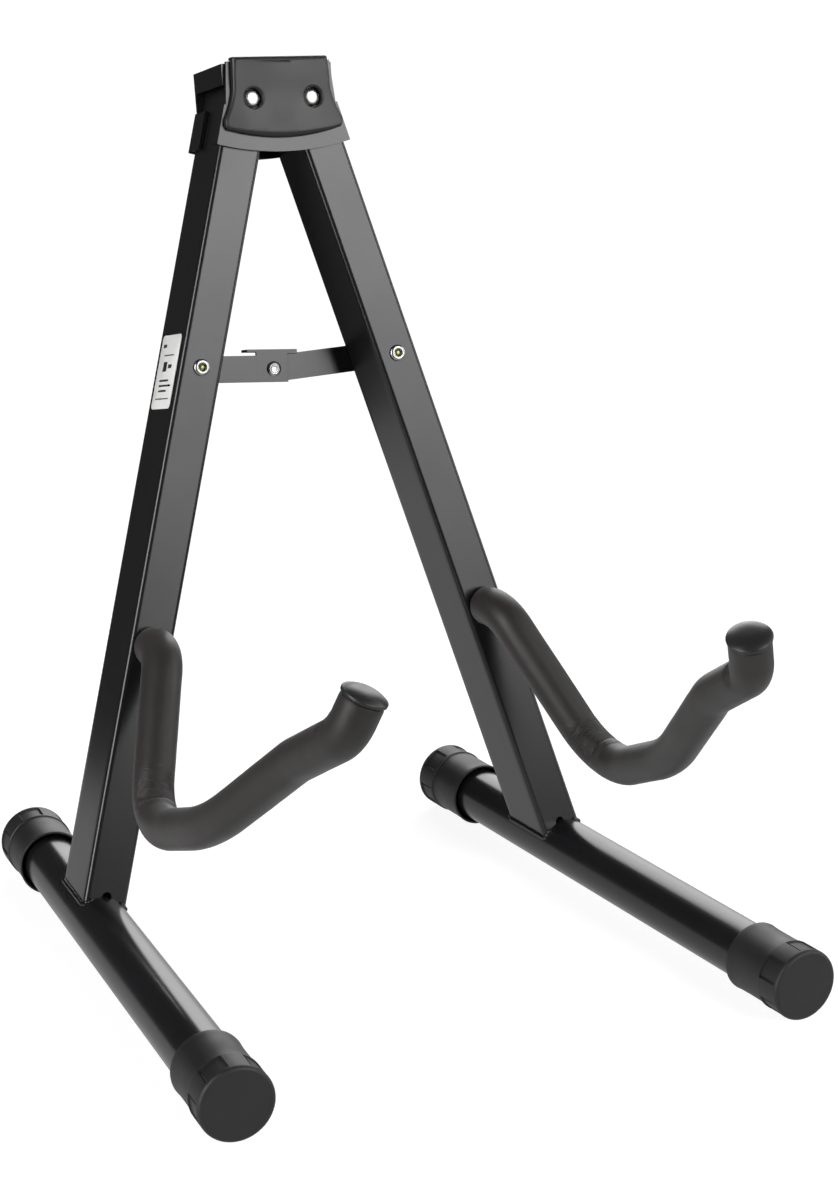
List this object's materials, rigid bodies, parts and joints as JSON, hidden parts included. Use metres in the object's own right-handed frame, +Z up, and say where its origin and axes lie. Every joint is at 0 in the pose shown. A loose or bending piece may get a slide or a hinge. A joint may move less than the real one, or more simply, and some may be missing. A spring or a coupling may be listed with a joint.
{
  "type": "guitar stand",
  "caption": "Folding A-frame floor stand: tube legs on long feet with rubber caps, a riveted head bracket with a pad, a folding brace and foam-covered arms that cradle an instrument.",
  "frame": {"origin": "middle of the footprint, on the floor", "axes": "+Z up, front of the stand (the side the instrument rests on) faces -Y, +X to the right seen from the front"},
  "size_m": [0.3638, 0.4008, 0.4825],
  "materials": {
    "powder_coat": "gloss black powder coat",
    "zinc": "bright zinc plate",
    "cap_rubber": "matte moulded rubber",
    "moulded_pad": "matte moulded rubber",
    "arm_foam": "matte closed-cell foam",
    "arm_plastic": "satin moulded plastic",
    "label_film": "satin printed film, blank"
  },
  "bodies": {
    "head": {"bracket_rear_shell": "powder_coat", "bracket_front_plate": "powder_coat", "head_pad": "moulded_pad", "left_pivot_rivet": "zinc", "right_pivot_rivet": "zinc"},
    "left_leg": {"left_leg_tube": "powder_coat", "left_foot_tube": "powder_coat", "left_front_foot_cap": "cap_rubber", "left_rear_foot_cap": "cap_rubber", "left_arm_rod": "powder_coat", "left_arm_foam": "arm_foam", "left_arm_end_cap": "arm_plastic", "left_brace_rivet": "zinc", "blank_label": "label_film"},
    "right_leg": {"right_leg_tube": "powder_coat", "right_foot_tube": "powder_coat", "right_front_foot_cap": "cap_rubber", "right_rear_foot_cap": "cap_rubber", "right_arm_rod": "powder_coat", "right_arm_foam": "arm_foam", "right_arm_end_cap": "arm_plastic", "right_brace_rivet": "zinc"},
    "left_link": {"left_brace_link": "powder_coat", "brace_middle_rivet": "zinc"},
    "right_link": {"right_brace_link": "powder_coat", "right_brace_rivet_tail": "zinc"}
  },
  "joints": [
    {"name": "left_leg_fold", "type": "hinge", "parent": "head", "child": "left_leg", "pos_m": [-0.0182, 0.16909, 0.45418], "axis": [0, -0.9769, 0.2139], "range_deg": [0, 15.9]},
    {"name": "right_leg_fold", "type": "hinge", "parent": "head", "child": "right_leg", "pos_m": [0.0182, 0.16909, 0.45418], "axis": [0, -0.9769, 0.2139], "range_deg": [-15.9, 0]},
    {"name": "left_link_fold", "type": "hinge", "parent": "left_leg", "child": "left_link", "pos_m": [-0.0607, 0.1377, 0.3108], "axis": [0, -0.9769, 0.2139], "range_deg": [0, 59.12]},
    {"name": "right_link_fold", "type": "hinge", "parent": "left_link", "child": "right_link", "pos_m": [0, 0.137, 0.30758], "axis": [0, -0.9769, 0.2139], "range_deg": [-150.04, 0]}
  ],
  "couplings": [
    {"joint": "right_leg_fold", "follows": "left_leg_fold", "ratio": -1},
    {"joint": "left_link_fold", "follows": "left_leg_fold", "ratio": 3.7182},
    {"joint": "right_link_fold", "follows": "left_leg_fold", "ratio": -9.4365}
  ]
}
